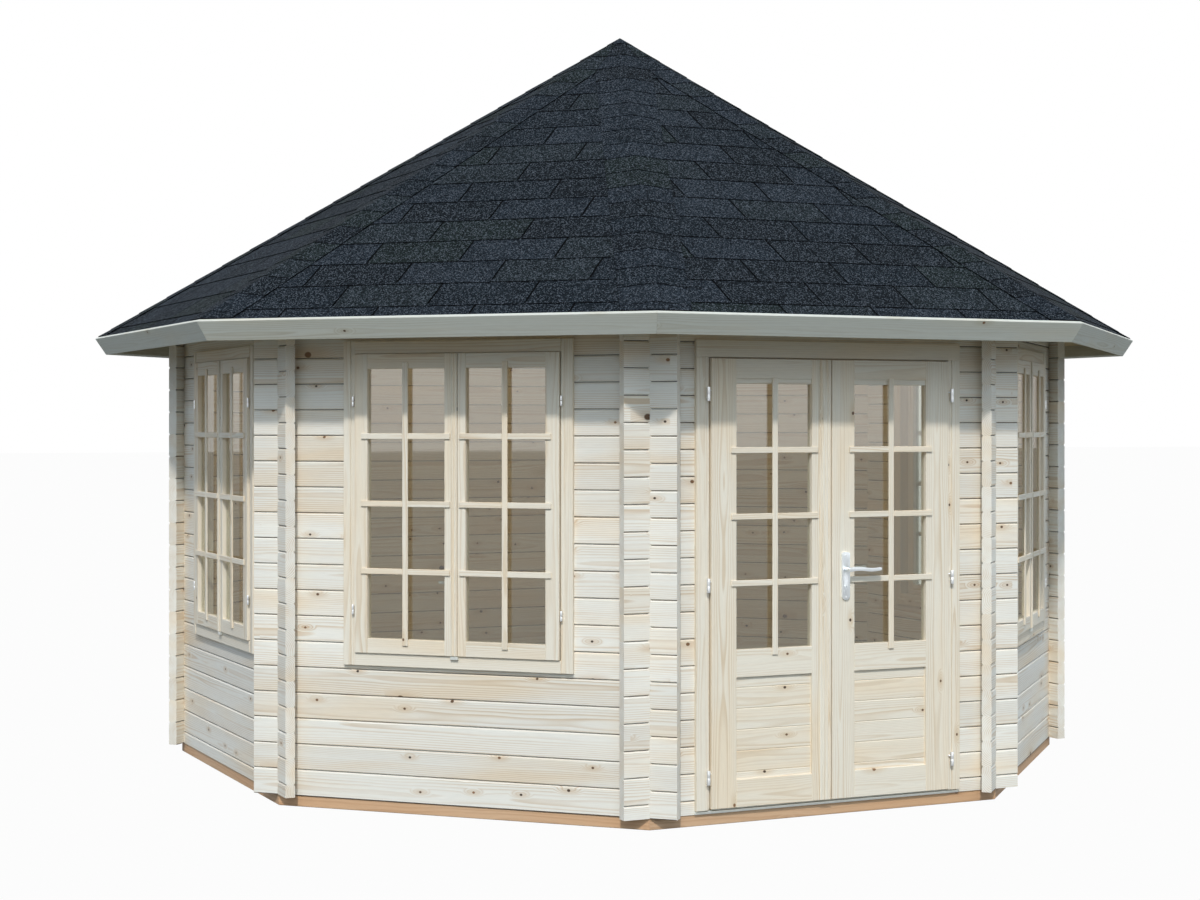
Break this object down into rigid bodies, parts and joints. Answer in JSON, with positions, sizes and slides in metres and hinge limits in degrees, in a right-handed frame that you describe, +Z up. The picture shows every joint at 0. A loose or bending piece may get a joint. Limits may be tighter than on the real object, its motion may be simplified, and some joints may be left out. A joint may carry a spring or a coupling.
{
  "type": "octagonal garden gazebo",
  "caption": "Eight-sided log garden house with glazed double doors that swing out, casement windows, a boarded floor and a shingled pyramid roof",
  "frame": {"origin": "centre of the octagon on the ground, under the base frame", "axes": "+Z up; the double door faces -Y; +X to the right of someone who faces the door"},
  "size_m": [5.062, 5.062, 3.7423],
  "materials": {
    "log_wood": "untreated spruce",
    "joinery_wood": "planed untreated spruce",
    "fascia_wood": "planed spruce",
    "roof_wood": "planed spruce",
    "floor_wood": "planed spruce",
    "treated_wood": "pressure treated",
    "shingles": "bitumen with mineral granules",
    "glass": "clear",
    "zinc": "zinc plated",
    "handle_metal": "satin",
    "aluminium": "mill finish"
  },
  "bodies": {
    "gazebo": {"base_frame": "treated_wood", "floor_joists": "treated_wood", "floor_boards": "floor_wood", "door_wall_left": "log_wood", "door_wall_right": "log_wood", "door_wall_lintel": "log_wood", "front_right_wall": "log_wood", "right_wall": "log_wood", "back_right_wall": "log_wood", "back_wall": "log_wood", "back_left_wall": "log_wood", "left_wall": "log_wood", "front_left_wall": "log_wood", "king_block": "roof_wood", "rafters": "roof_wood", "roof_boards": "roof_wood", "fascia_boards": "fascia_wood", "roof_shingles": "shingles", "hip_caps": "shingles", "door_frame": "joinery_wood", "threshold": "aluminium", "frame_hinges": "zinc", "front_right_window_frame": "joinery_wood", "front_right_window_sashes": "joinery_wood", "front_right_window_glass": "glass", "right_window_frame": "joinery_wood", "right_window_sashes": "joinery_wood", "right_window_glass": "glass", "left_window_frame": "joinery_wood", "left_window_sashes": "joinery_wood", "left_window_glass": "glass", "front_left_window_frame": "joinery_wood", "front_left_window_sashes": "joinery_wood", "front_left_window_glass": "glass"},
    "left_door": {"left_leaf": "joinery_wood", "left_leaf_grille": "joinery_wood", "left_leaf_glass": "glass", "left_leaf_hinges": "zinc"},
    "right_door": {"right_leaf": "joinery_wood", "right_leaf_grille": "joinery_wood", "right_leaf_glass": "glass", "right_leaf_hinges": "zinc", "handle_plates": "handle_metal"},
    "lever": {"handle_lever": "handle_metal"}
  },
  "joints": [
    {"name": "left_door_hinge", "type": "hinge", "parent": "gazebo", "child": "left_door", "pos_m": [-0.617, -2.153, 1], "axis": [0, 0, -1], "range_deg": [0, 155]},
    {"name": "right_door_hinge", "type": "hinge", "parent": "gazebo", "child": "right_door", "pos_m": [0.617, -2.153, 1], "axis": [0, 0, 1], "range_deg": [0, 155]},
    {"name": "lever_turn", "type": "hinge", "parent": "right_door", "child": "lever", "pos_m": [0.06, -2.15, 1.072], "axis": [0, 1, 0], "range_deg": [0, 40], "stiffness_Nm_per_rad": 1, "springref_deg": -28.65}
  ]
}
